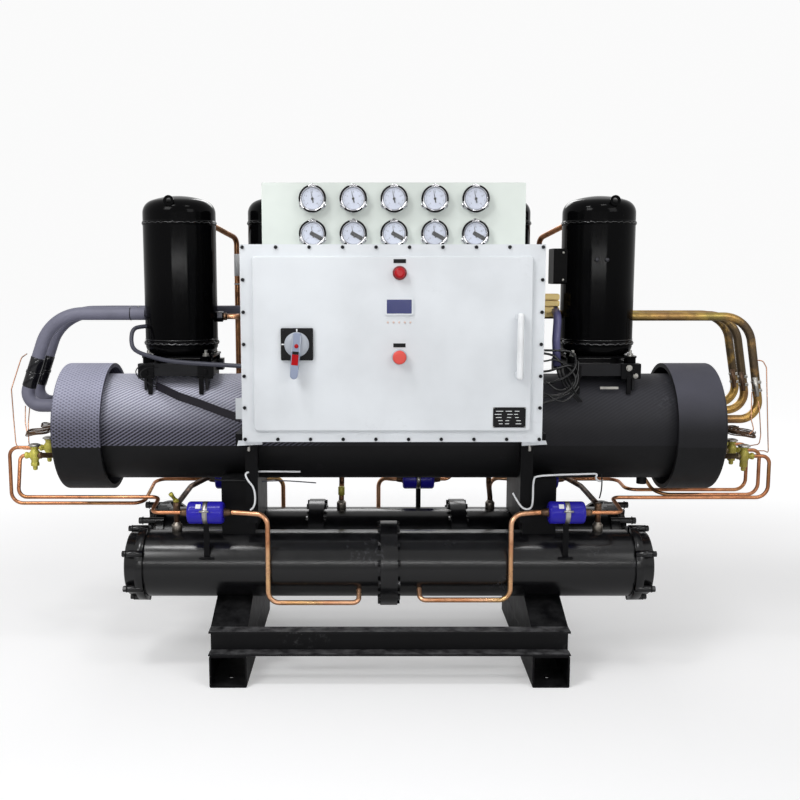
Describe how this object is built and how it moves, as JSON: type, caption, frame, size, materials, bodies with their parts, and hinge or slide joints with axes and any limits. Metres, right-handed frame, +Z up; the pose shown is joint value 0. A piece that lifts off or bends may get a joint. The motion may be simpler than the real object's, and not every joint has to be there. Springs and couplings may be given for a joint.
{
  "type": "water-cooled chiller",
  "caption": "Skid-mounted water-cooled chiller: insulated evaporator with scroll compressors on top, shell condensers below, sealed control enclosure and gauge board in front.",
  "frame": {"origin": "on the floor, at the middle of the four anchor holes of the base", "axes": "+X along the evaporator to the right of the control side, +Y to the back, +Z up"},
  "size_m": [2.6247, 1.06, 1.588],
  "materials": {
    "frame_paint": "satin black paint",
    "shell_paint": "satin black paint",
    "insulation": "embossed foam rubber",
    "compressor_paint": "gloss black paint",
    "enclosure_paint": "light grey powder coat",
    "board_paint": "pale powder coat",
    "chrome_trim": "chromed steel",
    "black_plastic": "matt black",
    "grey_plastic": "moulded grey",
    "red_plastic": "glossy red",
    "display_glass": "clear window over a dark display",
    "pipe_insulation": "foam rubber tube",
    "copper": "drawn copper, heat stained at the joints",
    "drier_paint": "gloss blue paint",
    "valve_brass": "brass"
  },
  "bodies": {
    "machine": {"base_beam_left": "frame_paint", "base_beam_right": "frame_paint", "compressor_1": "compressor_paint", "compressor_2": "compressor_paint", "compressor_3": "compressor_paint", "compressor_4": "compressor_paint", "compressor_5": "compressor_paint", "compressor_stands": "frame_paint", "condenser_front_left": "shell_paint", "condenser_front_right": "shell_paint", "condenser_rear_left": "shell_paint", "condenser_rear_middle": "shell_paint", "condenser_rear_right": "shell_paint", "conduit_left": "pipe_insulation", "cover_handle": "enclosure_paint", "cross_beam_front": "frame_paint", "cross_beam_rear": "frame_paint", "discharge_pipes_left": "copper", "discharge_pipes_right": "copper", "display_window": "display_glass", "drier_brackets": "chrome_trim", "enclosure_body": "enclosure_paint", "enclosure_cover": "enclosure_paint", "enclosure_post_left": "frame_paint", "enclosure_post_right": "frame_paint", "evaporator_barrel": "insulation", "evaporator_feed_left": "copper", "evaporator_feed_right": "copper", "evaporator_head_left": "insulation", "evaporator_head_right": "insulation", "evaporator_water_nozzles": "shell_paint", "expansion_valves_left": "valve_brass", "expansion_valves_right": "valve_brass", "filter_driers": "drier_paint", "gauge_board": "board_paint", "isolator_plate": "black_plastic", "liquid_pipes_front": "copper", "liquid_pipes_rear": "copper", "oil_equaliser": "copper", "pedestal_left": "frame_paint", "pedestal_right": "frame_paint", "pressure_gauges": "chrome_trim", "rating_plate": "black_plastic", "saddle_left": "frame_paint", "saddle_right": "frame_paint", "signal_lamp": "red_plastic", "stop_button": "red_plastic", "suction_pipes_left": "pipe_insulation", "suction_pipes_right": "copper", "terminal_boxes": "black_plastic", "water_box_front_left": "shell_paint", "water_box_front_right": "shell_paint", "water_box_rear_left": "shell_paint", "water_box_rear_right": "shell_paint"},
    "isolator_handle": {"isolator_handle": "grey_plastic"}
  },
  "joints": [
    {"name": "isolator_turn", "type": "hinge", "parent": "machine", "child": "isolator_handle", "pos_m": [-0.275, -0.49, 1.102], "axis": [0, -1, 0], "range_deg": [0, 90]}
  ]
}
